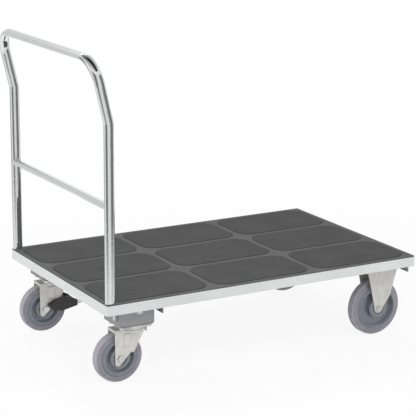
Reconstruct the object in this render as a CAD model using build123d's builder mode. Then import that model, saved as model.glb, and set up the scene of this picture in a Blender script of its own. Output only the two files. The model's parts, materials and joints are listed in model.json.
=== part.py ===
# Folding platform cart: a steel tray deck with a ribbed mat, an oval-tube push handle
# that folds down over the deck, two swivel casters under the handle end (one of them
# braked) and two larger fixed casters under the other end.
# Frame: +X runs from the handle end to the fixed casters, +Z is up, the floor is Z = 0,
# and the origin lies under the middle of the cart's bounding box.
import os
from math import cos, hypot, radians, sin, sqrt, tan

from build123d import *

os.makedirs("parts", exist_ok=True)

# Deck tray
deck_len = 900.0
deck_wid = 572.0
deck_top = 215.0
skirt_h = 25.0
sheet_t = 2.0
tray_corner_r = 6.0
tray_edge_r = 1.5

# Mat and raised pads
mat_t = 2.2
mat_inset = 0.6
pad_rise = 1.2
pad_border = 14.0
pad_gap = 16.0
pad_corner_r = 40.0
pad_edge = 0.8
pad_cols = 3
pad_rows = 3

# Caster beds inside the tray and hanging cross rails
bed_over = 6.0
bed_t = 2.5
bed_end_gap = 0.3
rail_t = 3.0
rail_drop = 16.0
rail_leg = 15.0
rail_bed_gap = 2.0
rail_end_gap = 6.0
rail_side_gap = 1.0

# Handle
foot_inset_x = 14.0
foot_inset_y = 12.0
foot_gap = 0.6
tube_deep = 26.0
tube_thin = 17.0
tube_wall = 1.5
bar_h = 587.0
knee_h = 435.0
lean_deg = 13.0
knee_r = 40.0
corner_r = 62.0
mid_h = 238.0
mid_deep = 24.0
mid_thin = 16.5
weld_gap = 0.1

# Handle hinge
pivot_rise = 20.0
pin_r = 4.0
pin_fit = 0.06
pin_inset = 0.5
lug_wid = 16.0
lug_t = 6.0
lug_slot_gap = 0.4
lug_base_t = 4.0
lug_base_gap = 4.0
lug_base_wid = 16.0

# Wheels
swivel_wheel_d = 125.0
fixed_wheel_d = 150.0
tyre_wid = 28.0
tread_wid = 20.0
tread_edge_r = 2.5
tyre_depth = 16.5
tyre_fit = 0.05
rim_proud = 0.5
rim_face = 7.0
rim_lip = 1.5
rim_foot = 4.0
ridge_gap = 0.5
web_t = 13.0
boss_r = 26.0
swivel_boss_wid = 34.0
fixed_boss_wid = 44.0
boss_dish_r = 18.0
boss_dish = 2.0
bush_t = 4.0
bush_fit = 0.03
sleeve_r = 8.0
sleeve_fit = 0.06
axle_r = 5.0
axle_gap = 0.25
hub_side_gap = 0.5

# Fasteners
bolt_r = 4.0
hole_gap = 0.25
thread_gap = 0.05
hex_r = 7.5
bolt_head_h = 5.5
nut_h = 6.5
bolt_over = 1.5
axle_hex_r = 8.5
axle_head_h = 5.0
axle_nut_h = 7.0

# Swivel casters
caster_inset = 65.0
king_inset = 94.0
trail = 36.0
wheel_clear = 6.0
crown_t = 3.0
crown_r = 36.0
crown_nose = 42.0
crown_nose_wid = 16.0
nose_lip_h = 16.0
lip_clear = 2.0
race_rise = 4.8
race_in_r = 25.0
race_wid = 8.0
race_gap = 1.5
ball_d = 7.0
ball_fit = 0.1
ball_count = 16
plate_t = 3.0
plate_wid = 80.0
plate_corner_r = 6.0
cup_t = 3.5
cup_gap = 2.5
king_r = 6.0
king_fit = 0.08
king_head_r = 10.0
king_head_h = 6.0
king_nut_r = 10.5
king_nut_h = 8.0
king_play = 0.15
bolt_clear = 1.0
chan_t = 2.5
chan_flange = 18.0
chan_over = 6.0
end_bolt_y = 29.0
end_bolt_rise = 22.5
end_head_h = 8.0
tab_t = 2.5
tab_wid = 16.0
tab_under = 10.0

# Swivel fork legs, measured from the axle
leg_t = 3.0
leg_back = 15.0
leg_low = 18.5
leg_tip_r = 8.0
leg_step_x = 36.0
leg_step_z = 12.0
leg_rib_back = 6.0
leg_rib_front = 28.0
leg_rib_low = 26.0
rib_top_gap = 6.0
rib_rise = 2.5
rib_edge = 1.4
rib_taper = 55.0

# Fixed casters, measured from the axle
fixed_plate_shift = 8.0
fixed_plate_len = 100.0
fork_back_top = 38.0
fork_front_top = 58.0
fork_front_x = 35.0
fork_front_z = 31.0
fork_tip_r = 12.5
fork_apron_h = 14.0
fork_rib_back = 17.0
fork_rib_front = 26.0
fork_rib_bend = 44.0
fork_rib_low = 16.0
fork_rib_low_back = 9.0
fork_rib_low_front = 13.0

# Brake on the far swivel caster, measured from that wheel's axle
brake_pivot_x = 17.0
brake_pivot_z = 13.5
brake_pin_r = 3.5
brake_head_r = 5.0
brake_head_t = 2.0
brake_side_gap = 0.6
cheek_t = 4.0
cheek_round = 3.0
cheek_tip_x = 2.0
cheek_tip_z = 13.0
cheek_fore_x = 28.0
cheek_fore_z = 25.0
cheek_peak_x = 57.0
cheek_peak_z = 30.0
cheek_heel_x = 16.0
cheek_heel_z = -1.0
cheek_belly_x = 46.0
cheek_belly_z = -9.0
shoe_gap = 3.4
shoe_t = 2.0
shoe_wid = 22.0
shoe_h = 8.0
tread_len = 22.0
tread_top = 15.0
tread_low = 0.0
tread_slope = 10.0
tread_rise = 6.0
groove_count = 4
groove_wid = 1.6
groove_deep = 1.2
lever_t = 3.0
lever_z = 1.5
lever_root = 8.0
lever_out = 30.0
lever_root_wid = 46.0
lever_tip_wid = 16.0

# Heights that follow from the sizes above
tray_low = deck_top - skirt_h
plate_under = deck_top - sheet_t
mat_top = deck_top + mat_t
pivot_z = mat_top + pivot_rise
swivel_axle_z = swivel_wheel_d / 2
fixed_axle_z = fixed_wheel_d / 2
crown_z = swivel_wheel_d + wheel_clear
crown_top = crown_z + crown_t
race_top = crown_top + race_rise
plate_low = race_top + ball_d + 2 * ball_fit
swivel_top = plate_low + plate_t
fixed_plate_z = tray_low - plate_t

# Swivel head and bolt spacings that follow from the sizes above
race_out_r = race_in_r + race_wid
cup_in_r = race_out_r + race_gap
cup_out_r = cup_in_r + cup_t
plate_bolt_y = plate_wid / 2 - chan_t - hex_r - bolt_clear
plate_bolt_x = sqrt((cup_out_r + hex_r + bolt_clear) ** 2 - plate_bolt_y**2)
plate_len = 2 * (plate_bolt_x + hex_r + bolt_clear)
swivel_in = max(swivel_boss_wid, tyre_wid) + 2 * hub_side_gap
swivel_out = swivel_in + 2 * leg_t
fixed_in = max(fixed_boss_wid, tyre_wid) + 2 * hub_side_gap
fixed_out = fixed_in + 2 * leg_t
fixed_bolt_x = fixed_plate_len / 2 - hex_r - bolt_clear
fixed_bolt_y = fixed_out / 2 + rib_rise + hex_r + bolt_clear
fixed_plate_wid = 2 * (fixed_bolt_y + hex_r + bolt_clear)
bed_wid = max(plate_len, fixed_plate_len) + 2 * bed_over

# Places in plan that follow from the sizes above
lean = radians(lean_deg)
lean_run = tan(lean) * (bar_h - knee_h)
bar_reach = hypot(tube_deep / 2 * cos(lean), tube_thin / 2 * sin(lean))
handle_over = lean_run - foot_inset_x + bar_reach
deck_x0 = (handle_over - deck_len) / 2
deck_x1 = (handle_over + deck_len) / 2
deck_cx = (deck_x0 + deck_x1) / 2
foot_x = deck_x0 + foot_inset_x
foot_y = deck_wid / 2 - foot_inset_y
bar_x = foot_x - lean_run
caster_y = deck_wid / 2 - caster_inset
king_x = deck_x0 + king_inset
swivel_axle_x = king_x - trail
chan_x0 = king_x - plate_len / 2 - chan_over
chan_len = plate_len + chan_over
fixed_plate_x = deck_x1 - sheet_t - rail_side_gap - rail_leg - rail_bed_gap - bed_wid / 2
fixed_axle_x = fixed_plate_x - fixed_plate_shift
lug_base_len = king_inset - bed_wid / 2 - lug_base_gap - foot_inset_x + lug_wid / 2
SIDES = {"near": -1, "far": 1}


def side_plane(x, y, z):
    # Upright plane across the cart: local x along X, local y along Z, normal towards -Y
    return Plane(origin=(x, y, z), x_dir=(1, 0, 0), z_dir=(0, -1, 0))


def end_plane(x, y, z):
    # Upright plane along the cart: local x along Y, local y along Z, normal towards +X
    return Plane(origin=(x, y, z), x_dir=(0, 1, 0), z_dir=(1, 0, 0))


def save(builder, name):
    builder.part.label = name
    export_step(builder.part, "parts/" + name + ".step")


# Deck tray: one folded sheet with skirts on four sides and slots for the hinge lugs
lug_spots = [(foot_x, side * foot_y) for side in SIDES.values()]
with BuildPart() as deck_tray:
    with BuildSketch(Plane.XY.offset(tray_low)):
        with Locations((deck_cx, 0)):
            RectangleRounded(deck_len, deck_wid, tray_corner_r)
    extrude(amount=skirt_h)
    fillet(deck_tray.faces().sort_by(Axis.Z)[-1].edges(), radius=tray_edge_r)
    with BuildSketch(Plane.XY.offset(tray_low)):
        with Locations((deck_cx, 0)):
            RectangleRounded(deck_len - 2 * sheet_t, deck_wid - 2 * sheet_t, tray_corner_r - sheet_t)
    extrude(amount=skirt_h - sheet_t, mode=Mode.SUBTRACT)
    with BuildSketch(Plane.XY.offset(deck_top)):
        with Locations(*lug_spots):
            Rectangle(lug_wid + 2 * lug_slot_gap, lug_t + 2 * lug_slot_gap)
    extrude(amount=-sheet_t, mode=Mode.SUBTRACT)
save(deck_tray, "deck_tray")

# Mat sheet over the tray, slotted where the lugs pass
with BuildPart() as deck_mat:
    with BuildSketch(Plane.XY.offset(deck_top)):
        with Locations((deck_cx, 0)):
            RectangleRounded(deck_len - 2 * mat_inset, deck_wid - 2 * mat_inset, tray_corner_r)
        with Locations(*lug_spots):
            Rectangle(lug_wid + 2 * lug_slot_gap, lug_t + 2 * lug_slot_gap, mode=Mode.SUBTRACT)
    extrude(amount=mat_t)
save(deck_mat, "deck_mat")

# Raised grip pads, laid out in rows and columns with grid strips between them
pad_len = (deck_len - 2 * pad_border - (pad_cols - 1) * pad_gap) / pad_cols
pad_wid = (deck_wid - 2 * pad_border - (pad_rows - 1) * pad_gap) / pad_rows
with BuildPart() as grip_pads:
    with BuildSketch(Plane.XY.offset(mat_top)):
        with Locations((deck_cx, 0)):
            with GridLocations(pad_len + pad_gap, pad_wid + pad_gap, pad_cols, pad_rows):
                RectangleRounded(pad_len, pad_wid, pad_corner_r)
    extrude(amount=pad_rise)
    chamfer(grip_pads.edges().group_by(Axis.Z)[-1], length=pad_edge)
save(grip_pads, "grip_pads")

# Caster beds: upward channels across the tray, flush with the skirt's lower edge
channel_spots = [(king_x, side * caster_y) for side in SIDES.values()]
flange_y = plate_wid / 2 + chan_flange / 2
flange_spots = [(x, y + s * flange_y) for x, y in channel_spots for s in (-1, 1)]
swivel_bolt_spots = [
    (x + i * plate_bolt_x, y + j * plate_bolt_y)
    for x, y in channel_spots
    for i in (-1, 1)
    for j in (-1, 1)
]
fixed_spots = [(fixed_plate_x, side * caster_y) for side in SIDES.values()]
fixed_bolt_spots = [
    (x + i * fixed_bolt_x, y + j * fixed_bolt_y)
    for x, y in fixed_spots
    for i in (-1, 1)
    for j in (-1, 1)
]
end_bolt_z = swivel_top + end_bolt_rise
end_bolt_ys = [y + s * end_bolt_y for _, y in channel_spots for s in (-1, 1)]
tab_x = chan_x0 + chan_t
tab_drop = tray_low - end_bolt_z + tab_under
bed_h = plate_under - tray_low
bed_len = deck_wid - 2 * sheet_t - 2 * bed_end_gap


def bed_rail(x, holes, tab_ys, name):
    with BuildPart() as bed:
        with BuildSketch(side_plane(x, 0, tray_low + bed_h / 2)):
            Rectangle(bed_wid, bed_h)
            with Locations((0, bed_t)):
                Rectangle(bed_wid - 2 * bed_t, bed_h, mode=Mode.SUBTRACT)
        extrude(amount=bed_len / 2, both=True)
        with BuildSketch(Plane.XY.offset(tray_low)):
            with Locations(*holes):
                Circle(bolt_r + hole_gap)
        extrude(amount=bed_t, mode=Mode.SUBTRACT)
        for y in tab_ys:
            with Locations((tab_x, y, tray_low)):
                Box(tab_t, tab_wid, tab_drop, align=(Align.MIN, Align.CENTER, Align.MAX))
            with BuildSketch(end_plane(tab_x, y, end_bolt_z)):
                Circle(bolt_r + hole_gap)
            extrude(amount=tab_t, mode=Mode.SUBTRACT)
    save(bed, name)


bed_rail(king_x, flange_spots, end_bolt_ys, "bed_rail_rear")
bed_rail(fixed_plate_x, fixed_bolt_spots, [], "bed_rail_front")

# Cross rails: angles welded under the deck, hanging a little below the skirt
rail_h = plate_under - tray_low + rail_drop
rail_len = deck_wid - 2 * sheet_t - 2 * rail_end_gap


def cross_rail(bed_x, name):
    x = bed_x + bed_wid / 2 + rail_bed_gap
    with BuildPart() as rail:
        with BuildSketch(side_plane(x, 0, plate_under)):
            with Locations((rail_t / 2, -rail_h / 2)):
                Rectangle(rail_t, rail_h)
            with Locations((rail_leg / 2, -rail_t / 2)):
                Rectangle(rail_leg, rail_t)
        extrude(amount=rail_len / 2, both=True)
    save(rail, name)


cross_rail(king_x, "cross_rail_rear")
cross_rail(fixed_plate_x, "cross_rail_front")

# Hinge lugs: flat tongues standing through the tray inside the handle's feet
for side_name, side in SIDES.items():
    lug_y = side * foot_y
    with BuildPart() as lug:
        with BuildSketch(side_plane(foot_x, lug_y, pivot_z)):
            Circle(lug_wid / 2)
            with Locations((0, -(pivot_z - plate_under) / 2)):
                Rectangle(lug_wid, pivot_z - plate_under)
            Circle(pin_r + pin_fit, mode=Mode.SUBTRACT)
        extrude(amount=lug_t / 2, both=True)
        with Locations((foot_x - lug_wid / 2, lug_y, plate_under)):
            Box(
                lug_base_len,
                lug_base_wid,
                lug_base_t,
                align=(Align.MIN, Align.CENTER, Align.MAX),
            )
    save(lug, "hinge_lug_" + side_name)

# Handle: one oval tube bent into a leaning U, open at its feet
foot_z = mat_top + foot_gap
knee_z = deck_top + knee_h
bar_z = deck_top + bar_h
heel_r = pivot_rise - foot_gap
route = [
    (foot_x, -foot_y, foot_z),
    (foot_x, -foot_y, knee_z),
    (bar_x, -foot_y, bar_z),
    (bar_x, foot_y, bar_z),
    (foot_x, foot_y, knee_z),
    (foot_x, foot_y, foot_z),
]
foot_plane = Plane(origin=route[0], x_dir=(1, 0, 0), z_dir=(0, 0, 1))
with BuildPart() as handle_tube:
    with BuildLine() as tube_path:
        FilletPolyline(*route, radius=[knee_r, corner_r, corner_r, knee_r])
    with BuildSketch(foot_plane):
        Ellipse(tube_deep / 2, tube_thin / 2)
        Ellipse(tube_deep / 2 - tube_wall, tube_thin / 2 - tube_wall, mode=Mode.SUBTRACT)
    sweep(path=tube_path.wires()[0])
    for side in SIDES.values():
        # Heel of the foot rounded on the deck side so that it clears the mat as it turns
        with BuildSketch(side_plane(foot_x, side * foot_y, pivot_z)):
            with Locations((tube_deep / 2, -pivot_rise / 2)):
                Rectangle(tube_deep, pivot_rise)
            Circle(heel_r, mode=Mode.SUBTRACT)
        extrude(amount=tube_thin, both=True, mode=Mode.SUBTRACT)
        # Slot on the deck side through which the lug swings
        slot_h = pivot_z + lug_wid / 2 + 2 * lug_slot_gap - foot_z
        with Locations((foot_x, side * foot_y, foot_z)):
            Box(
                tube_deep,
                lug_t + 2 * lug_slot_gap,
                slot_h,
                align=(Align.MIN, Align.CENTER, Align.MIN),
                mode=Mode.SUBTRACT,
            )
        with BuildSketch(side_plane(foot_x, side * foot_y, pivot_z)):
            Circle(pin_r)
        extrude(amount=tube_thin, both=True, mode=Mode.SUBTRACT)
save(handle_tube, "handle_tube")

# Hinge pins, flush in the feet
with BuildPart() as hinge_pins:
    for side in SIDES.values():
        with BuildSketch(side_plane(foot_x, side * foot_y, pivot_z)):
            Circle(pin_r)
        extrude(amount=tube_thin / 2 - pin_inset, both=True)
save(hinge_pins, "hinge_pins")

# Lower crossbar, coped to the uprights
with BuildPart() as mid_bar:
    with BuildSketch(side_plane(foot_x, 0, deck_top + mid_h)):
        Ellipse(mid_deep / 2, mid_thin / 2)
        Ellipse(mid_deep / 2 - tube_wall, mid_thin / 2 - tube_wall, mode=Mode.SUBTRACT)
    extrude(amount=foot_y, both=True)
    with BuildSketch(Plane.XY.offset(deck_top + mid_h)):
        with Locations(*lug_spots):
            Ellipse(tube_deep / 2 + weld_gap, tube_thin / 2 + weld_gap)
    extrude(amount=mid_thin, both=True, mode=Mode.SUBTRACT)
save(mid_bar, "mid_bar")


# Wheel parts: a grey tyre on a dished hub that turns on a bush
def tyre(x, y, wheel_d, name):
    z = wheel_d / 2
    half_tyre = [(tyre_wid / 2, z - tyre_depth), (tread_wid / 2, z)]
    with BuildPart() as ring:
        with BuildSketch(end_plane(x, y, z)):
            with BuildLine():
                Polyline(*half_tyre, *[(-u, v) for u, v in reversed(half_tyre)], close=True)
            make_face()
        revolve(axis=Axis((x, y, z), (0, 1, 0)))
        outer = ring.edges().filter_by(GeomType.CIRCLE).group_by(SortBy.RADIUS)[-1]
        fillet(outer, radius=tread_edge_r)
    save(ring, name)


def hub(x, y, wheel_d, boss_wid, name):
    z = wheel_d / 2
    rim_r = z - tyre_depth - tyre_fit
    ridge = boss_wid / 2 - ridge_gap
    ridge_r = rim_r - rim_face
    bore_r = sleeve_r + sleeve_fit + bush_t + bush_fit
    half_rim = [
        (tyre_wid / 2 + rim_proud, rim_r),
        (ridge, ridge_r),
        (ridge - rim_lip, ridge_r - rim_lip),
        (web_t / 2, ridge_r - rim_foot),
    ]
    with BuildPart() as core:
        with BuildSketch(end_plane(x, y, z)):
            with BuildLine():
                Polyline(*half_rim, *[(-u, v) for u, v in reversed(half_rim)], close=True)
            make_face()
            with Locations((0, (bore_r + ridge_r) / 2)):
                Rectangle(web_t, ridge_r - bore_r)
            with Locations((0, (bore_r + boss_r) / 2)):
                Rectangle(boss_wid, boss_r - bore_r)
            for s in (-1, 1):
                with Locations((s * (boss_wid - boss_dish) / 2, (bore_r + boss_dish_r) / 2)):
                    Rectangle(boss_dish, boss_dish_r - bore_r, mode=Mode.SUBTRACT)
        revolve(axis=Axis((x, y, z), (0, 1, 0)))
    save(core, name)


def bush(x, y, wheel_d, boss_wid, name):
    z = wheel_d / 2
    in_r = sleeve_r + sleeve_fit
    with BuildPart() as liner:
        with BuildSketch(side_plane(x, y, z)):
            Circle(in_r + bush_t)
            Circle(in_r, mode=Mode.SUBTRACT)
        extrude(amount=boss_wid / 2, both=True)
    save(liner, name)


for side_name, side in SIDES.items():
    for kind, wheel_x, wheel_d, boss_wid in (
        ("swivel", swivel_axle_x, swivel_wheel_d, swivel_boss_wid),
        ("fixed", fixed_axle_x, fixed_wheel_d, fixed_boss_wid),
    ):
        tag = kind + "_" + side_name
        tyre(wheel_x, side * caster_y, wheel_d, tag + "_tyre")
        hub(wheel_x, side * caster_y, wheel_d, boss_wid, tag + "_hub")
        bush(wheel_x, side * caster_y, wheel_d, boss_wid, tag + "_bush")


# Axle set: sleeve clamped between the fork legs, bolt through both, nut on the far end
def axle_bolts(spots, fork_out, name):
    with BuildPart() as axle:
        for x, y, z in spots:
            with BuildSketch(side_plane(x, y - fork_out / 2, z)):
                RegularPolygon(axle_hex_r, 6)
            extrude(amount=axle_head_h)
            with BuildSketch(side_plane(x, y - fork_out / 2, z)):
                Circle(axle_r)
            extrude(amount=-(fork_out + axle_nut_h + bolt_over))
    save(axle, name)


def axle_nuts(spots, fork_out, name):
    with BuildPart() as nut:
        for x, y, z in spots:
            with BuildSketch(side_plane(x, y + fork_out / 2, z)):
                RegularPolygon(axle_hex_r, 6)
                Circle(axle_r + thread_gap, mode=Mode.SUBTRACT)
            extrude(amount=-axle_nut_h)
    save(nut, name)


def axle_sleeves(spots, fork_in, name):
    with BuildPart() as sleeve:
        for x, y, z in spots:
            with BuildSketch(side_plane(x, y, z)):
                Circle(sleeve_r)
                Circle(axle_r + axle_gap, mode=Mode.SUBTRACT)
            extrude(amount=fork_in / 2, both=True)
    save(sleeve, name)


fixed_axles = [(fixed_axle_x, side * caster_y, fixed_axle_z) for side in SIDES.values()]
axle_bolts(fixed_axles, fixed_out, "fixed_axle_bolts")
axle_nuts(fixed_axles, fixed_out, "fixed_axle_nuts")
axle_sleeves(fixed_axles, fixed_in, "fixed_axle_sleeves")
for side_name, side in SIDES.items():
    swivel_axle = [(swivel_axle_x, side * caster_y, swivel_axle_z)]
    axle_bolts(swivel_axle, swivel_out, "swivel_" + side_name + "_axle_bolt")
    axle_nuts(swivel_axle, swivel_out, "swivel_" + side_name + "_axle_nut")
    axle_sleeves(swivel_axle, swivel_in, "swivel_" + side_name + "_axle_sleeve")


# Caster channels: hat sections hung from the rear bed, closed at the handle end
chan_h = tray_low - swivel_top
for side_name, side in SIDES.items():
    chan_y = side * caster_y
    with BuildPart() as channel:
        with BuildSketch(end_plane(chan_x0, chan_y, swivel_top)):
            with Locations((0, chan_t / 2)):
                Rectangle(plate_wid, chan_t)
            for s in (-1, 1):
                with Locations((s * (plate_wid - chan_t) / 2, chan_h / 2)):
                    Rectangle(chan_t, chan_h)
                with Locations((s * (plate_wid + chan_flange - chan_t) / 2, chan_h - chan_t / 2)):
                    Rectangle(chan_flange + chan_t, chan_t)
        extrude(amount=chan_len)
        with BuildSketch(end_plane(chan_x0, chan_y, swivel_top)):
            with Locations((0, chan_h / 2)):
                Rectangle(plate_wid, chan_h)
            with Locations((0, end_bolt_rise)):
                with GridLocations(2 * end_bolt_y, 0, 2, 1):
                    Circle(bolt_r + hole_gap, mode=Mode.SUBTRACT)
        extrude(amount=chan_t)
        with BuildSketch(Plane.XY.offset(swivel_top)):
            with Locations((king_x, chan_y)):
                Circle(king_head_r + hole_gap)
                with GridLocations(2 * plate_bolt_x, 2 * plate_bolt_y, 2, 2):
                    Circle(bolt_r + hole_gap)
        extrude(amount=chan_t, mode=Mode.SUBTRACT)
        with BuildSketch(Plane.XY.offset(tray_low)):
            with Locations((king_x, chan_y)):
                with GridLocations(0, 2 * flange_y, 1, 2):
                    Circle(bolt_r + hole_gap)
        extrude(amount=-chan_t, mode=Mode.SUBTRACT)
    save(channel, "caster_channel_" + side_name)

    # Top plate of the swivel caster with the upper race cup
    with BuildPart() as plate:
        with BuildSketch(Plane.XY.offset(plate_low)):
            with Locations((king_x, chan_y)):
                RectangleRounded(plate_len, plate_wid, plate_corner_r)
                Circle(king_r + hole_gap, mode=Mode.SUBTRACT)
                with GridLocations(2 * plate_bolt_x, 2 * plate_bolt_y, 2, 2):
                    Circle(bolt_r + hole_gap, mode=Mode.SUBTRACT)
        extrude(amount=plate_t)
        with BuildSketch(Plane.XY.offset(crown_top + cup_gap)):
            with Locations((king_x, chan_y)):
                Circle(cup_out_r)
                Circle(cup_in_r, mode=Mode.SUBTRACT)
        extrude(amount=plate_low - crown_top - cup_gap)
    save(plate, "swivel_" + side_name + "_plate")

    # Ball ring between the cup and the crown
    with BuildPart() as balls:
        with Locations((king_x, chan_y, race_top + ball_fit + ball_d / 2)):
            with PolarLocations((race_in_r + race_out_r) / 2, ball_count):
                Sphere(ball_d / 2)
    save(balls, "swivel_" + side_name + "_balls")

# King bolts hold the forks up: head inside the channel, nut under the crown
with BuildPart() as king_bolts:
    for side in SIDES.values():
        with Locations((king_x, side * caster_y, swivel_top)):
            Cylinder(king_head_r, king_head_h, align=(Align.CENTER, Align.CENTER, Align.MIN))
            Cylinder(
                king_r,
                swivel_top - crown_z + king_play + king_nut_h + bolt_over,
                align=(Align.CENTER, Align.CENTER, Align.MAX),
            )
save(king_bolts, "king_bolts")

with BuildPart() as king_nuts:
    with BuildSketch(Plane.XY.offset(crown_z - king_play)):
        with Locations(*channel_spots):
            RegularPolygon(king_nut_r, 6)
            Circle(king_r + thread_gap, mode=Mode.SUBTRACT)
    extrude(amount=-king_nut_h)
save(king_nuts, "king_nuts")


# Fork leg: pressed sheet with a rounded tip near the axle and a raised panel
def fork_leg(x, y, z, side, fork_in, outline, tip, rib):
    plane = side_plane(x, y + side * fork_in / 2, z)
    tip_x, tip_z, tip_r = tip
    with BuildPart() as leg:
        with BuildSketch(plane):
            with BuildLine():
                Polyline(*outline, close=True)
            make_face()
            with Locations((tip_x, tip_z)):
                Circle(tip_r)
        extrude(amount=-side * leg_t)
        with BuildSketch(plane.offset(-side * leg_t)):
            with BuildLine():
                Polyline(*rib, close=True)
            make_face()
        extrude(amount=-side * rib_rise, taper=rib_taper)
        with BuildSketch(plane):
            with BuildLine():
                Polyline(*rib, close=True)
            panel = make_face()
            offset(panel, amount=-rib_edge, kind=Kind.INTERSECTION, mode=Mode.REPLACE)
        extrude(amount=-side * rib_rise, mode=Mode.SUBTRACT)
        with BuildSketch(plane):
            Circle(axle_r + axle_gap)
        extrude(amount=-side * leg_t, mode=Mode.SUBTRACT)
    return leg.part


# Swivel forks: round crown with a lower race, pressed legs, a tail lip over the tyre
leg_top = crown_top - swivel_axle_z
leg_front = trail + sqrt(crown_r**2 - (swivel_out / 2) ** 2)
crown_tail = trail + leg_back
tail_lip_h = crown_t + wheel_clear - lip_clear
tip_x = leg_tip_r - leg_back
tip_z = leg_tip_r - leg_low
tip_slant = leg_tip_r / sqrt(2)
swivel_outline = [
    (-leg_back, tip_z),
    (-leg_back, leg_top),
    (leg_front, leg_top),
    (leg_front, leg_top - crown_t),
    (leg_step_x, leg_step_z),
    (leg_step_z + tip_x - tip_z + 2 * tip_slant, leg_step_z),
    (tip_x + tip_slant, tip_z - tip_slant),
]
swivel_tip = (tip_x, tip_z, leg_tip_r)
leg_rib_high = leg_top - crown_t - rib_top_gap
swivel_rib = [
    (leg_rib_back, leg_rib_low),
    (leg_rib_back, leg_rib_high),
    (leg_rib_front, leg_rib_high),
    (leg_rib_front, leg_rib_low),
]
for side_name, side in SIDES.items():
    fork_y = side * caster_y
    legs = [
        fork_leg(
            swivel_axle_x, fork_y, swivel_axle_z, s, swivel_in, swivel_outline, swivel_tip, swivel_rib
        )
        for s in (-1, 1)
    ]
    with BuildPart() as fork:
        with BuildSketch(Plane.XY.offset(crown_z)):
            with Locations((king_x, fork_y)):
                Circle(crown_r)
                with Locations((-crown_tail / 2, 0)):
                    Rectangle(crown_tail, swivel_out)
                with Locations((crown_nose / 2, 0)):
                    Rectangle(crown_nose, crown_nose_wid)
        extrude(amount=crown_t)
        with BuildSketch(Plane.XY.offset(crown_top)):
            with Locations((king_x, fork_y)):
                Circle(race_out_r)
                Circle(race_in_r, mode=Mode.SUBTRACT)
        extrude(amount=race_rise)
        add(legs)
        with Locations((king_x - crown_tail, fork_y, crown_top)):
            Box(crown_t, swivel_out, tail_lip_h, align=(Align.MIN, Align.CENTER, Align.MAX))
        with Locations((king_x + crown_nose, fork_y, crown_top)):
            Box(crown_t, crown_nose_wid, nose_lip_h, align=(Align.MAX, Align.CENTER, Align.MAX))
        with Locations((king_x, fork_y, crown_z)):
            Cylinder(
                king_r + king_fit,
                crown_t,
                align=(Align.CENTER, Align.CENTER, Align.MIN),
                mode=Mode.SUBTRACT,
            )
        if side_name == "far":
            with BuildSketch(side_plane(swivel_axle_x, fork_y, swivel_axle_z)):
                with Locations((brake_pivot_x, brake_pivot_z)):
                    Circle(brake_pin_r)
            extrude(amount=swivel_out, both=True, mode=Mode.SUBTRACT)
    save(fork, "swivel_" + side_name + "_fork")

# Fixed forks: flat top plate with two pressed legs and an apron between them
fork_top = fixed_plate_z - fixed_axle_z
fixed_outline = [
    (-fork_tip_r, 0),
    (-fork_back_top, fork_top),
    (fork_front_top, fork_top),
    (fork_front_x, fork_front_z),
    (fork_tip_r, 0),
]
fixed_tip = (0, 0, fork_tip_r)
fixed_rib = [
    (-fork_rib_low_back, fork_rib_low),
    (-fork_rib_back, fork_top - rib_top_gap),
    (fork_rib_front, fork_top - rib_top_gap),
    (fork_rib_front, fork_rib_bend),
    (fork_rib_low_front, fork_rib_low),
]
for side_name, side in SIDES.items():
    fork_y = side * caster_y
    legs = [
        fork_leg(
            fixed_axle_x, fork_y, fixed_axle_z, s, fixed_in, fixed_outline, fixed_tip, fixed_rib
        )
        for s in (-1, 1)
    ]
    with BuildPart() as fixed_fork:
        with BuildSketch(Plane.XY.offset(fixed_plate_z)):
            with Locations((fixed_plate_x, fork_y)):
                RectangleRounded(fixed_plate_len, fixed_plate_wid, plate_corner_r)
                with GridLocations(2 * fixed_bolt_x, 2 * fixed_bolt_y, 2, 2):
                    Circle(bolt_r + hole_gap, mode=Mode.SUBTRACT)
        extrude(amount=plate_t)
        add(legs)
        with Locations((fixed_axle_x - fork_back_top, fork_y, fixed_plate_z)):
            Box(leg_t, fixed_in, fork_apron_h, align=(Align.MIN, Align.CENTER, Align.MAX))
    save(fixed_fork, "fixed_" + side_name + "_fork")


# Plate bolts: heads on one face of a joint, nuts on the other
def plate_bolts(spots, head_z, grip, up, name):
    with BuildPart() as bolts:
        with BuildSketch(Plane.XY.offset(head_z)):
            with Locations(*spots):
                RegularPolygon(hex_r, 6)
        extrude(amount=-up * bolt_head_h)
        with BuildSketch(Plane.XY.offset(head_z)):
            with Locations(*spots):
                Circle(bolt_r)
        extrude(amount=up * (grip + nut_h + bolt_over))
    save(bolts, name)


def plate_nuts(spots, seat_z, up, name):
    with BuildPart() as nuts:
        with BuildSketch(Plane.XY.offset(seat_z)):
            with Locations(*spots):
                RegularPolygon(hex_r, 6)
                Circle(bolt_r + thread_gap, mode=Mode.SUBTRACT)
        extrude(amount=up * nut_h)
    save(nuts, name)


plate_bolts(flange_spots, tray_low + bed_t, chan_t + bed_t, -1, "flange_bolts")
plate_nuts(flange_spots, tray_low - chan_t, -1, "flange_nuts")
plate_bolts(swivel_bolt_spots, swivel_top + chan_t, chan_t + plate_t, -1, "swivel_bolts")
plate_nuts(swivel_bolt_spots, plate_low, -1, "swivel_nuts")
plate_bolts(fixed_bolt_spots, fixed_plate_z, plate_t + bed_t, 1, "fixed_bolts")
plate_nuts(fixed_bolt_spots, tray_low + bed_t, 1, "fixed_nuts")

# Bolts through the closed channel ends into tabs of the bed, heads towards the handle end
with BuildPart() as end_bolts:
    for y in end_bolt_ys:
        with BuildSketch(end_plane(chan_x0, y, end_bolt_z)):
            RegularPolygon(hex_r, 6)
        extrude(amount=-end_head_h)
        with BuildSketch(end_plane(chan_x0, y, end_bolt_z)):
            Circle(bolt_r)
        extrude(amount=chan_t + tab_t + nut_h + bolt_over)
save(end_bolts, "channel_end_bolts")

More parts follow.
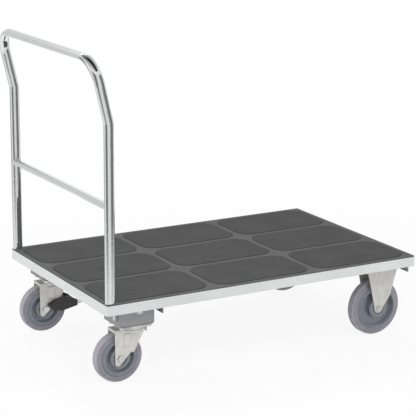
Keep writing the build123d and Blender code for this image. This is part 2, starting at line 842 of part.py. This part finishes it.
with BuildPart() as end_nuts:
    for y in end_bolt_ys:
        with BuildSketch(end_plane(tab_x + tab_t, y, end_bolt_z)):
            RegularPolygon(hex_r, 6)
            Circle(bolt_r + thread_gap, mode=Mode.SUBTRACT)
        extrude(amount=nut_h)
save(end_nuts, "channel_end_nuts")

# Brake: black pedal with a cheek outside each leg, a steel tongue and a shoe
brake_y = caster_y
cheek_in = swivel_out / 2 + rib_rise + brake_side_gap
shoe_face = swivel_wheel_d / 2 + shoe_gap
tread_x = shoe_face + shoe_t
tread_end = tread_x + tread_len
cheek_outline = [
    (cheek_tip_x, cheek_tip_z),
    (cheek_fore_x, cheek_fore_z),
    (cheek_peak_x, cheek_peak_z),
    (tread_end - tread_slope, tread_top + tread_rise),
    (tread_end, tread_top),
    (tread_end, tread_low),
    (cheek_belly_x, cheek_belly_z),
    (cheek_heel_x, cheek_heel_z),
]
lever_outline = [
    (tread_end - lever_root, -lever_root_wid / 2),
    (tread_end, -lever_root_wid / 2),
    (tread_end + lever_out, -lever_tip_wid / 2),
    (tread_end + lever_out, lever_tip_wid / 2),
    (tread_end, lever_root_wid / 2),
    (tread_end - lever_root, lever_root_wid / 2),
]
lever_plane = Plane(
    origin=(swivel_axle_x, brake_y, swivel_axle_z + lever_z),
    x_dir=(1, 0, 0),
    z_dir=(0, 0, 1),
)
with BuildPart() as brake_pedal:
    for s in (-1, 1):
        with BuildSketch(side_plane(swivel_axle_x, brake_y + s * cheek_in, swivel_axle_z)):
            with BuildLine():
                Polyline(*cheek_outline, close=True)
            cheek = make_face()
            fillet(cheek.vertices(), radius=cheek_round)
            with Locations((brake_pivot_x, brake_pivot_z)):
                Circle(brake_pin_r + pin_fit, mode=Mode.SUBTRACT)
        extrude(amount=-s * cheek_t)
    with BuildSketch(side_plane(swivel_axle_x, brake_y, swivel_axle_z)):
        with Locations((tread_x + tread_len / 2, (tread_top + tread_low) / 2)):
            RectangleRounded(tread_len, tread_top - tread_low, cheek_round)
    extrude(amount=cheek_in + cheek_t, both=True)
    with BuildSketch(lever_plane):
        with BuildLine():
            Polyline(*lever_outline, close=True)
        make_face()
    extrude(amount=lever_t, mode=Mode.SUBTRACT)
    with Locations((swivel_axle_x + tread_x + tread_len / 2, brake_y, swivel_axle_z + tread_top)):
        with GridLocations(tread_len / (groove_count + 1), 0, groove_count, 1):
            Box(
                groove_wid,
                2 * cheek_in,
                groove_deep,
                align=(Align.CENTER, Align.CENTER, Align.MAX),
                mode=Mode.SUBTRACT,
            )
save(brake_pedal, "brake_pedal")

with BuildPart() as brake_lever:
    with BuildSketch(lever_plane):
        with BuildLine():
            Polyline(*lever_outline, close=True)
        make_face()
    extrude(amount=lever_t)
save(brake_lever, "brake_lever")

with BuildPart() as brake_shoe:
    with Locations((swivel_axle_x + shoe_face, brake_y, swivel_axle_z)):
        Box(
            shoe_t,
            shoe_wid,
            shoe_h,
            align=(Align.MIN, Align.CENTER, Align.MIN),
        )
save(brake_shoe, "brake_shoe")

# Rivets on which the pedal turns, one through each leg
with BuildPart() as brake_rivets:
    for s in (-1, 1):
        rivet_in = side_plane(
            swivel_axle_x + brake_pivot_x,
            brake_y + s * swivel_in / 2,
            swivel_axle_z + brake_pivot_z,
        )
        rivet_out = side_plane(
            swivel_axle_x + brake_pivot_x,
            brake_y + s * (cheek_in + cheek_t + pin_fit),
            swivel_axle_z + brake_pivot_z,
        )
        with BuildSketch(rivet_in):
            Circle(brake_pin_r)
        extrude(amount=-s * (cheek_in + cheek_t + pin_fit - swivel_in / 2))
        with BuildSketch(rivet_out):
            Circle(brake_head_r)
        extrude(amount=-s * brake_head_t)
save(brake_rivets, "brake_rivets")
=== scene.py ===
import json
from math import cos, pi, radians, sin, sqrt

import bmesh
import bpy
from mathutils import Matrix, Vector


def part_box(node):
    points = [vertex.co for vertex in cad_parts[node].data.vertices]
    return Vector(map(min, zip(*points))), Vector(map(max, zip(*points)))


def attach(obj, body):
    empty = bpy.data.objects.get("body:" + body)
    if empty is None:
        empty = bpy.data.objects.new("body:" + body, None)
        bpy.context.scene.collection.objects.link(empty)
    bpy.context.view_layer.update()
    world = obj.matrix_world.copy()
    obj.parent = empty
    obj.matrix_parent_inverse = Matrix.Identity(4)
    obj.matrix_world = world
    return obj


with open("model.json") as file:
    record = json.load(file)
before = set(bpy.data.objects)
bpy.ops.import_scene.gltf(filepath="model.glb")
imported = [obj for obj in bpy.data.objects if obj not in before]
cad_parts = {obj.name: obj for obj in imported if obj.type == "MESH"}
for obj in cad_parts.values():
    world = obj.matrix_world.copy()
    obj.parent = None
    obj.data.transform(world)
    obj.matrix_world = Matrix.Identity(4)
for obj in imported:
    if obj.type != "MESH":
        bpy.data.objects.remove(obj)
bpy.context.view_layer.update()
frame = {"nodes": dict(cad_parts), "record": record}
nodes = frame["nodes"]
slot_of = {s["node"]: s["material_slot"] for s in frame["record"]["subparts"]}

# Camera fitted to the photograph: degrees, pixels, metres, and millimetres for the sensor
IMAGE_PX = 416.0
CAMERA_AZIMUTH = -29.824
CAMERA_ELEVATION = 14.366
CAMERA_ROLL = 0.381
CAMERA_FOCAL_PX = 1632.5
CAMERA_PLACE = (-2.0525, -3.5858, 1.3971)
CAMERA_SENSOR = 36.0
CAMERA_CLIP = 50.0

# World strengths: the light that falls on the cart, and the white that is seen
WORLD_LIGHT = 0.38
WORLD_SEEN = 1.0

# Area lamps: place, aim and size in metres, and watts
LAMPS = {
    "key": ((-2.2, -2.6, 3.6), (0.0, 0.0, 0.2), 2.2, 66.0),
    "front": ((1.5, -3.7, 0.7), (0.0, 0.0, 0.2), 1.0, 28.0),
    "fill": ((2.8, -2.2, 2.6), (0.0, 0.0, 0.2), 2.4, 32.0),
    "side": ((-3.3, 0.7, 1.1), (-0.3, 0.0, 0.15), 0.9, 35.0),
    "back": ((0.6, 3.0, 3.9), (0.0, 0.0, 0.3), 2.4, 68.0),
}

# Floor, in metres: a square whose shadow is shown faintly near the cart and not at all far off
FLOOR_HALF = 9.0
FLOOR_TONE = 0.90
SHADOW_NEAR = 0.9
SHADOW_FAR = 2.2
SHADOW_SHARE = 0.12

# What only polished metal sees: a ring of light and dark screens round the handle, which fade
# to one pale tone below and above, and a ceiling that darkens towards a strip across its
# middle. Places are in metres, directions in degrees from +X, tones are light levels, and the
# ceiling's tones stand at shares of its radius.
SCREEN_R = 2.2
SCREEN_LOW = -0.9
SCREEN_HIGH = 2.6
SCREEN_STEPS = 180
FADE_LOW = (-0.50, -0.10)
FADE_HIGH = (1.75, 2.00)
FADE_TONE = (0.90, 0.90, 0.90)
SCREENS = [
    (-180, 0.81),
    (-150, 0.81),
    (-142, 0.20),
    (-110, 0.20),
    (-102, 0.81),
    (-74, 0.81),
    (-62, 0.25),
    (-45, 0.18),
    (-24, 0.18),
    (-16, 0.81),
    (30, 0.75),
    (36, 0.25),
    (46, 0.25),
    (52, 1.00),
    (66, 1.00),
    (74, 0.74),
    (123, 0.70),
    (130, 0.25),
    (150, 0.25),
    (160, 0.81),
]
OVERHEAD_PLACE = (0.25, -0.5, 2.7)
OVERHEAD_R = 2.6
OVERHEAD_SIDES = 64
OVERHEAD_TURN = -63.0
OVERHEAD = [(0.0, 0.02), (0.18, 0.02), (0.30, 0.35), (0.60, 0.60), (0.95, 0.75)]
STRIP_START = 0.9
STRIP_TAPER = 0.235

# Sizes of the solids that the looks follow, in metres: the half widths of the handle's oval
# tube, the thickness of the swivel plates, and the ring sizes of the hub's face
TUBE_DEEP = 0.013
TUBE_THIN = 0.0085
PLATE_THICK = 0.0032
RIM_THICK = 0.0085
BOSS_R = 0.026

# Half the height of the change from plate to race cup, and the pitch of moulding rings, in metres
PLATE_BLEND = 0.0003
TYRE_PITCH = 0.0022
HUB_PITCH = 0.0016

# Lower crossbar weld beads, in metres
WELD_R = 0.0016
WELD_RIPPLE = 0.0003
WELD_STEPS = 96
WELD_SIDES = 10
WELD_RIPPLES = 26

# Small edge radii on pressed and folded sheet, bolts and moulded parts, in metres
BEVELS = {
    "tray_paint": 0.0006,
    "zinc_steel": 0.0006,
    "galvanised": 0.0006,
    "bolt_steel": 0.0005,
    "black_plastic": 0.0010,
    "mat_rubber": 0.0005,
    "hub_plastic": 0.0008,
}
BEVEL_SEGMENTS = 2
BEVEL_ANGLE = 40.0
UNBEVELLED = ("_balls", "_sleeve", "_sleeves")

BLACK = (0.0, 0.0, 0.0)
WHITE = (1.0, 1.0, 1.0)

# Bright zinc, from its darker to its paler spangle
ZINC_LOW = (0.58, 0.57, 0.54)
ZINC_HIGH = (0.69, 0.68, 0.655)

# The part of a noise's range over which a colour changes
WIDE = (0.3, 0.7)
NARROW = (0.35, 0.65)

# Sockets of the colour kind of a mix node
MIX_SHARE, MIX_A, MIX_B, MIX_RESULT = 0, 6, 7, 2


# Node helpers for procedural materials. Object coordinates are metres in the shared frame.
class Mat:
    def __init__(self, name):
        self.m = bpy.data.materials.new(name)
        self.m.use_nodes = True
        self.nt = self.m.node_tree
        self.bsdf = self.nt.nodes["Principled BSDF"]
        self.coord = self.nt.nodes.new("ShaderNodeTexCoord").outputs["Object"]

    def link(self, a, b):
        self.nt.links.new(a, b)

    def node(self, kind, **values):
        n = self.nt.nodes.new(kind)
        for key, value in values.items():
            setattr(n, key, value)
        return n

    def noise(self, scale, detail, rough=0.55, stretch=None):
        n = self.node("ShaderNodeTexNoise")
        n.inputs["Scale"].default_value = scale
        n.inputs["Detail"].default_value = detail
        n.inputs["Roughness"].default_value = rough
        source = self.coord
        if stretch:
            mapping = self.node("ShaderNodeMapping")
            mapping.inputs["Scale"].default_value = stretch
            self.link(self.coord, mapping.inputs["Vector"])
            source = mapping.outputs["Vector"]
        self.link(source, n.inputs["Vector"])
        return n.outputs["Fac"]

    def ramp(self, fac, stops):
        n = self.node("ShaderNodeValToRGB")
        while len(n.color_ramp.elements) < len(stops):
            n.color_ramp.elements.new(0.5)
        for element, (place, colour) in zip(n.color_ramp.elements, stops):
            element.position = place
            element.color = (*colour, 1.0)
        self.link(fac, n.inputs["Fac"])
        return n.outputs["Color"]

    def fade(self, fac, low, high, span=WIDE):
        return self.ramp(fac, [(span[0], low), (span[1], high)])

    def step(self, fac, start, stop):
        return self.fade(fac, BLACK, WHITE, (start, stop))

    def remap(self, fac, low, high, span=WIDE):
        n = self.node("ShaderNodeMapRange")
        n.inputs["From Min"].default_value = span[0]
        n.inputs["From Max"].default_value = span[1]
        n.inputs["To Min"].default_value = low
        n.inputs["To Max"].default_value = high
        self.link(fac, n.inputs["Value"])
        return n.outputs["Result"]

    def math(self, kind, a, b=0.0):
        n = self.node("ShaderNodeMath", operation=kind)
        for socket, value in zip(n.inputs, (a, b)):
            if isinstance(value, (int, float)):
                socket.default_value = value
            else:
                self.link(value, socket)
        return n.outputs["Value"]

    def length(self, a, b):
        squares = self.math("MULTIPLY", a, a), self.math("MULTIPLY", b, b)
        return self.math("SQRT", self.math("ADD", *squares))

    def weigh(self, a, b, share):
        first = self.math("MULTIPLY", a, share)
        return self.math("ADD", first, self.math("MULTIPLY", b, 1.0 - share))

    def mix(self, fac, a, b):
        n = self.node("ShaderNodeMix", data_type="RGBA")
        self.link(fac, n.inputs[MIX_SHARE])
        for socket, value in ((n.inputs[MIX_A], a), (n.inputs[MIX_B], b)):
            if isinstance(value, tuple):
                socket.default_value = (*value, 1.0)
            else:
                self.link(value, socket)
        return n.outputs[MIX_RESULT]

    def bump(self, height, strength, distance):
        n = self.node("ShaderNodeBump")
        n.inputs["Strength"].default_value = strength
        n.inputs["Distance"].default_value = distance
        self.link(height, n.inputs["Height"])
        self.link(n.outputs["Normal"], self.bsdf.inputs["Normal"])

    def place(self):
        split = self.node("ShaderNodeSeparateXYZ")
        self.link(self.coord, split.inputs["Vector"])
        return split.outputs

    def flatness(self):
        # 1 on faces that look straight up, 0 on upright ones
        geometry = self.node("ShaderNodeNewGeometry")
        split = self.node("ShaderNodeSeparateXYZ")
        self.link(geometry.outputs["Normal"], split.inputs["Vector"])
        return split.outputs["Z"]

    def radius_from(self, x, z):
        # Distance from an axle that runs along Y through (x, z)
        at = self.place()
        return self.length(self.math("SUBTRACT", at["X"], x), self.math("SUBTRACT", at["Z"], z))

    def rings(self, r, pitch, share, grain):
        # Fine moulding rings round an axle, over a grain
        wave = self.math("SINE", self.math("MULTIPLY", r, 2 * pi / pitch))
        return self.math("ADD", self.math("MULTIPLY", wave, share), grain)

    def colour(self, socket):
        self.link(socket, self.bsdf.inputs["Base Color"])

    def rough(self, socket):
        self.link(socket, self.bsdf.inputs["Roughness"])

    def const(self, **values):
        for key, value in values.items():
            self.bsdf.inputs[key.replace("_", " ")].default_value = value


# Satin powder coat with a faint orange peel
def paint():
    p = Mat("tray_paint")
    cloud = p.noise(scale=9.0, detail=4.0)
    p.colour(p.fade(cloud, low=(0.645, 0.664, 0.659), high=(0.700, 0.719, 0.714)))
    p.rough(p.remap(p.noise(scale=38.0, detail=3.0), low=0.36, high=0.50))
    p.bump(p.noise(scale=850.0, detail=2.0), strength=0.12, distance=0.0004)
    p.const(Specular_IOR_Level=0.4)
    return p.m


# Matt rubber: a fine grain, with painted shade on the upright edges, which are darker than the
# upper faces
def rubber(name, low, high, edge, grain, strength):
    p = Mat(name)
    cloud = p.noise(scale=14.0, detail=5.0, rough=0.6)
    fine = p.noise(scale=grain, detail=2.0)
    top = p.fade(p.weigh(cloud, fine, share=0.6), low, high, NARROW)
    # Upright faces take the darker edge colour: painted shade on the sides of the pads and strips
    p.colour(p.mix(p.step(p.flatness(), start=0.75, stop=0.97), edge, top))
    p.rough(p.remap(fine, low=0.66, high=0.86))
    p.bump(fine, strength, distance=0.0006)
    p.const(Specular_IOR_Level=0.06)
    return p.m


# Polished chromium plate with a faint haze
def chrome():
    p = Mat("chrome_tube")
    haze = p.noise(scale=26.0, detail=4.0)
    p.colour(p.fade(haze, low=(0.775, 0.782, 0.786), high=(0.820, 0.827, 0.831)))
    p.rough(p.remap(p.noise(scale=160.0, detail=3.0), low=0.06, high=0.10))
    p.bump(p.noise(scale=300.0, detail=2.0), strength=0.003, distance=0.0001)
    p.const(Metallic=1.0)
    return p.m


# Zinc plate: a soft spangle over the drawing marks of the press
def zinc(name, low, high, rough, metal):
    p = Mat(name)
    spangle = p.noise(scale=60.0, detail=4.0, rough=0.6)
    drawn = p.noise(scale=420.0, detail=2.0, rough=0.5, stretch=(1.0, 1.0, 0.12))
    p.colour(p.fade(p.weigh(spangle, drawn, share=0.65), low, high, NARROW))
    p.rough(p.remap(spangle, *rough))
    p.bump(drawn, strength=0.06, distance=0.0004)
    p.const(Metallic=metal)
    return p.m


# Swivel plate: a dark grey plate on top, which is partly the plate's dull colour and partly
# painted shade for the dark line under the channel, and a bright pressed race cup under it
def swivel_plate(name, split_z):
    p = Mat(name)
    spangle = p.noise(scale=60.0, detail=4.0, rough=0.6)
    cup = p.fade(spangle, ZINC_LOW, ZINC_HIGH, NARROW)
    # The plate's dark grey is partly painted shade: it gives the shadow line under the channel
    plate = p.fade(spangle, (0.150, 0.154, 0.160), (0.205, 0.210, 0.218), NARROW)
    change = (split_z - PLATE_BLEND, split_z + PLATE_BLEND)
    p.colour(p.mix(p.remap(p.place()["Z"], 0.0, 1.0, change), cup, plate))
    p.rough(p.remap(spangle, low=0.36, high=0.52))
    p.bump(p.noise(scale=420.0, detail=2.0), strength=0.06, distance=0.0004)
    p.const(Metallic=0.5)
    return p.m


# Grey tyre: paler, scuffed tread, a darker band where it meets the rim, fine moulding rings
def tyre(name, axle, radius):
    p = Mat(name)
    r = p.radius_from(*axle)
    share = p.math("DIVIDE", r, radius)
    cloud = p.noise(scale=55.0, detail=4.0, rough=0.6)
    base = p.fade(cloud, low=(0.245, 0.236, 0.268), high=(0.310, 0.300, 0.336))
    side = p.mix(p.step(share, start=0.76, stop=0.80), (0.17, 0.17, 0.20), base)
    tread = p.fade(cloud, low=(0.345, 0.333, 0.372), high=(0.410, 0.398, 0.440))
    p.colour(p.mix(p.step(share, start=0.955, stop=0.975), side, tread))
    p.rough(p.remap(p.noise(scale=240.0, detail=3.0), low=0.58, high=0.8))
    grain = p.noise(scale=900.0, detail=2.0)
    p.bump(p.rings(r, TYRE_PITCH, 0.25, grain), strength=0.18, distance=0.0004)
    p.const(Specular_IOR_Level=0.3)
    return p.m


# Moulded hub: blue-grey rim and boss, a slightly paler web between them that is painted light
# offsetting the shade in the deep dish, fine moulding rings
def hub(name, axle, rim_in, boss_out):
    p = Mat(name)
    r = p.radius_from(*axle)
    cloud = p.noise(scale=70.0, detail=4.0)
    base = p.fade(cloud, low=(0.185, 0.204, 0.232), high=(0.225, 0.246, 0.276))
    middle = (rim_in + boss_out) / 2
    reach = (rim_in - boss_out) / 2
    away = p.math("DIVIDE", p.math("ABSOLUTE", p.math("SUBTRACT", r, middle)), reach)
    # The paler web is painted light: it offsets the shade that falls in the deep dish between rim
    # and boss
    p.colour(p.mix(p.step(away, start=0.80, stop=1.05), (0.235, 0.258, 0.290), base))
    p.rough(p.remap(p.noise(scale=220.0, detail=3.0), low=0.36, high=0.54))
    grain = p.noise(scale=700.0, detail=2.0)
    p.bump(p.rings(r, HUB_PITCH, 0.3, grain), strength=0.10, distance=0.0003)
    p.const(Specular_IOR_Level=0.4)
    return p.m


# Moulded plastic with a fine eroded surface
def plastic(name, low, high, rough):
    p = Mat(name)
    p.colour(p.fade(p.noise(scale=80.0, detail=4.0), low, high))
    p.rough(p.remap(p.noise(scale=300.0, detail=3.0), *rough))
    p.bump(p.noise(scale=1600.0, detail=2.0), strength=0.15, distance=0.0003)
    return p.m


SLOTS = {
    "tray_paint": paint(),
    "mat_rubber": rubber(
        "mat_rubber",
        low=(0.128, 0.128, 0.130),
        high=(0.158, 0.158, 0.161),
        # the darker edge colour is painted shade on the upright sides of the mat's strips
        edge=(0.09, 0.09, 0.09),
        grain=1400.0,
        strength=0.10,
    ),
    "pad_rubber": rubber(
        "pad_rubber",
        low=(0.080, 0.080, 0.081),
        high=(0.102, 0.102, 0.103),
        # the darker edge colour is painted shade on the upright sides of the pads
        edge=(0.040, 0.040, 0.040),
        grain=1500.0,
        strength=0.28,
    ),
    "chrome_tube": chrome(),
    "zinc_steel": zinc("zinc_steel", ZINC_LOW, ZINC_HIGH, rough=(0.34, 0.48), metal=0.40),
    # Darker grey sheet for the channels and cross rails under the deck: partly the dull sheet's
    # own colour, partly painted shade for the shade under the deck
    "galvanised": zinc(
        "galvanised",
        low=(0.255, 0.262, 0.273),
        high=(0.312, 0.320, 0.333),
        rough=(0.42, 0.56),
        metal=0.35,
    ),
    "bolt_steel": zinc(
        "bolt_steel",
        low=(0.56, 0.56, 0.54),
        high=(0.70, 0.70, 0.68),
        rough=(0.24, 0.38),
        metal=0.85,
    ),
    "bush_plastic": plastic(
        "bush_plastic", low=(0.60, 0.60, 0.57), high=(0.72, 0.72, 0.69), rough=(0.4, 0.55)
    ),
    "black_plastic": plastic(
        "black_plastic", low=(0.016, 0.016, 0.016), high=(0.030, 0.030, 0.029), rough=(0.42, 0.58)
    ),
    "shoe_rubber": rubber(
        "shoe_rubber",
        low=(0.02, 0.02, 0.02),
        high=(0.04, 0.04, 0.04),
        edge=(0.02, 0.02, 0.02),
        grain=1200.0,
        strength=0.3,
    ),
}
BLACK_RIVET = zinc(
    "black_rivet",
    low=(0.020, 0.020, 0.020),
    high=(0.036, 0.036, 0.036),
    rough=(0.38, 0.52),
    metal=0.3,
)


# Where a wheel's axle runs, as (x, z), and the wheel's radius
def axle_of(node):
    low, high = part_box(node)
    return ((low[0] + high[0]) / 2, (low[2] + high[2]) / 2), (high[2] - low[2]) / 2


def material_for(name):
    if name.endswith("_tyre"):
        axle, radius = axle_of(name)
        return tyre(name + "_rubber", axle, radius)
    if name.endswith("_hub"):
        axle, radius = axle_of(name)
        return hub(name + "_plastic", axle, radius - RIM_THICK, BOSS_R)
    if name.startswith("swivel_") and name.endswith("_plate"):
        return swivel_plate(name + "_zinc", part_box(name)[1][2] - PLATE_THICK)
    if name == "brake_rivets":
        return BLACK_RIVET
    return SLOTS[slot_of[name]]


for name, obj in nodes.items():
    obj.data.materials.clear()
    obj.data.materials.append(material_for(name))
    width = BEVELS.get(slot_of[name])
    if width and not name.endswith(UNBEVELLED):
        bevel = obj.modifiers.new("edge", "BEVEL")
        bevel.width = width
        bevel.segments = BEVEL_SEGMENTS
        bevel.limit_method = "ANGLE"
        bevel.angle_limit = radians(BEVEL_ANGLE)
        bevel.harden_normals = True


def mesh_object(name, bm):
    mesh = bpy.data.meshes.new(name)
    bm.to_mesh(mesh)
    bm.free()
    obj = bpy.data.objects.new(name, mesh)
    bpy.context.collection.objects.link(obj)
    return obj


# Weld beads where the lower crossbar runs into the uprights
tube_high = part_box("handle_tube")[1]
bar_low, bar_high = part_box("mid_bar")
bar_x = (bar_low[0] + bar_high[0]) / 2
bar_z = (bar_low[2] + bar_high[2]) / 2
bar_deep = (bar_high[0] - bar_low[0]) / 2
bar_thin = (bar_high[2] - bar_low[2]) / 2
foot_y = tube_high[1] - TUBE_THIN


def weld_bead(name, side):
    bm = bmesh.new()
    along = Vector((0.0, -side, 0.0))
    loops = []
    for i in range(WELD_STEPS):
        angle = 2 * pi * i / WELD_STEPS
        x = bar_deep * cos(angle)
        y = foot_y - TUBE_THIN * sqrt(max(0.0, 1.0 - (x / TUBE_DEEP) ** 2))
        centre = Vector((bar_x + x, side * y, bar_z + bar_thin * sin(angle)))
        out = Vector((cos(angle) / bar_deep, 0.0, sin(angle) / bar_thin)).normalized()
        r = WELD_R + WELD_RIPPLE * sin(angle * WELD_RIPPLES)
        loop = []
        for k in range(WELD_SIDES):
            turn = 2 * pi * k / WELD_SIDES
            loop.append(bm.verts.new(centre + out * (r * cos(turn)) + along * (r * sin(turn))))
        loops.append(loop)
    for a, b in zip(loops, loops[1:] + loops[:1]):
        for k in range(WELD_SIDES):
            j = (k + 1) % WELD_SIDES
            bm.faces.new((a[k], b[k], b[j], a[j]))
    bmesh.ops.recalc_face_normals(bm, faces=bm.faces)
    for face in bm.faces:
        face.smooth = True
    obj = mesh_object(name, bm)
    obj.data.materials.append(SLOTS["chrome_tube"])
    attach(obj, "handle")


weld_bead("mid_bar_weld_near", -1)
weld_bead("mid_bar_weld_far", 1)


# Floor: a diffuse square that is white to the camera and keeps the cart's shadow near it
def floor():
    bm = bmesh.new()
    corners = ((-1, -1), (1, -1), (1, 1), (-1, 1))
    bm.faces.new([bm.verts.new((x * FLOOR_HALF, y * FLOOR_HALF, 0.0)) for x, y in corners])
    obj = mesh_object("floor", bm)
    obj.visible_glossy = False
    p, glow = glow_material("floor_white")
    diffuse = p.node("ShaderNodeBsdfDiffuse")
    diffuse.inputs["Color"].default_value = (FLOOR_TONE, FLOOR_TONE, FLOOR_TONE, 1.0)
    path = p.node("ShaderNodeLightPath")
    at = p.place()
    away = p.length(at["X"], at["Y"])
    share = p.remap(away, 1.0 - SHADOW_SHARE, 1.0, (SHADOW_NEAR, SHADOW_FAR))
    blend = p.node("ShaderNodeMixShader")
    p.link(p.math("MULTIPLY", path.outputs["Is Camera Ray"], share), blend.inputs[0])
    p.link(diffuse.outputs[0], blend.inputs[1])
    p.link(glow.outputs[0], blend.inputs[2])
    p.link(blend.outputs[0], p.nt.nodes["Material Output"].inputs["Surface"])
    obj.data.materials.append(p.m)


# World: even studio light, seen as plain white
def studio():
    world = bpy.data.worlds.new("studio")
    bpy.context.scene.world = world
    world.use_nodes = True
    nt = world.node_tree
    nt.nodes.clear()
    path = nt.nodes.new("ShaderNodeLightPath")
    seen = path.outputs["Is Camera Ray"]
    for name in ("Is Glossy Ray", "Is Transmission Ray"):
        either = nt.nodes.new("ShaderNodeMath")
        either.operation = "MAXIMUM"
        nt.links.new(seen, either.inputs[0])
        nt.links.new(path.outputs[name], either.inputs[1])
        seen = either.outputs[0]
    blend = nt.nodes.new("ShaderNodeMixShader")
    nt.links.new(seen, blend.inputs[0])
    for socket, strength in ((1, WORLD_LIGHT), (2, WORLD_SEEN)):
        background = nt.nodes.new("ShaderNodeBackground")
        background.inputs["Color"].default_value = (*WHITE, 1.0)
        background.inputs["Strength"].default_value = strength
        nt.links.new(background.outputs[0], blend.inputs[socket])
    out = nt.nodes.new("ShaderNodeOutputWorld")
    nt.links.new(blend.outputs[0], out.inputs["Surface"])


def only_in_polish(obj):
    obj.visible_camera = False
    obj.visible_diffuse = False
    obj.visible_transmission = False
    obj.visible_shadow = False


def glow_material(name):
    p = Mat(name)
    glow = p.node("ShaderNodeEmission")
    p.link(glow.outputs[0], p.nt.nodes["Material Output"].inputs["Surface"])
    p.nt.nodes.remove(p.bsdf)
    return p, glow


def grey(tone):
    return (tone, tone, tone)


def screens():
    bm = bmesh.new()
    rows = []
    for i in range(SCREEN_STEPS):
        turn = 2 * pi * i / SCREEN_STEPS
        x, y = bar_x + SCREEN_R * cos(turn), SCREEN_R * sin(turn)
        rows.append([bm.verts.new((x, y, z)) for z in (SCREEN_LOW, SCREEN_HIGH)])
    for a, b in zip(rows, rows[1:] + rows[:1]):
        bm.faces.new((a[0], b[0], b[1], a[1]))
    ring = mesh_object("screens", bm)
    only_in_polish(ring)
    p, glow = glow_material("screens")
    at = p.place()
    turn = p.math("ARCTAN2", at["Y"], p.math("SUBTRACT", at["X"], bar_x))
    share = p.remap(turn, 0.0, 1.0, (-pi, pi))
    tones = p.ramp(share, [((deg + 180) / 360, grey(tone)) for deg, tone in SCREENS])
    foot = p.remap(at["Z"], 1.0, 0.0, FADE_LOW)
    head = p.remap(at["Z"], 0.0, 1.0, FADE_HIGH)
    p.link(p.mix(p.math("MAXIMUM", foot, head), tones, FADE_TONE), glow.inputs["Color"])
    ring.data.materials.append(p.m)


def overhead():
    bm = bmesh.new()
    bmesh.ops.create_circle(bm, cap_ends=True, segments=OVERHEAD_SIDES, radius=OVERHEAD_R)
    sheet = mesh_object("overhead", bm)
    sheet.location = Vector((bar_x, 0.0, 0.0)) + Vector(OVERHEAD_PLACE)
    sheet.rotation_euler = (0.0, 0.0, radians(OVERHEAD_TURN))
    only_in_polish(sheet)
    p, glow = glow_material("overhead")
    at = p.place()
    along = p.math("MULTIPLY", p.math("SUBTRACT", at["X"], STRIP_START), STRIP_TAPER)
    share = p.math("DIVIDE", p.length(along, at["Y"]), OVERHEAD_R)
    tones = p.ramp(share, [(place, grey(tone)) for place, tone in OVERHEAD])
    p.link(tones, glow.inputs["Color"])
    sheet.data.materials.append(p.m)


def lamp(name, place, aim, size, watts):
    data = bpy.data.lights.new(name, "AREA")
    data.shape = "SQUARE"
    data.size = size
    data.energy = watts
    obj = bpy.data.objects.new(name, data)
    bpy.context.collection.objects.link(obj)
    obj.location = place
    obj.rotation_euler = (Vector(aim) - Vector(place)).to_track_quat("-Z", "Y").to_euler()


floor()
studio()
screens()
overhead()
for name, values in LAMPS.items():
    lamp(name, *values)

# Camera at the photograph's angle
azimuth = radians(CAMERA_AZIMUTH)
elevation = radians(CAMERA_ELEVATION)
roll = radians(CAMERA_ROLL)
back = Vector((sin(azimuth) * cos(elevation), -cos(azimuth) * cos(elevation), sin(elevation)))
level = Vector((cos(azimuth), sin(azimuth), 0.0))
upright = back.cross(level)
right = level * cos(roll) + upright * sin(roll)
up = upright * cos(roll) - level * sin(roll)
turned = Matrix((right, up, back)).transposed().to_4x4()
camera_data = bpy.data.cameras.new("camera")
camera_data.sensor_width = CAMERA_SENSOR
camera_data.lens = CAMERA_FOCAL_PX / IMAGE_PX * CAMERA_SENSOR
camera_data.clip_end = CAMERA_CLIP
camera = bpy.data.objects.new("camera", camera_data)
bpy.context.collection.objects.link(camera)
camera.matrix_world = Matrix.Translation(CAMERA_PLACE) @ turned
bpy.context.scene.camera = camera
bpy.context.scene.view_settings.view_transform = "Standard"
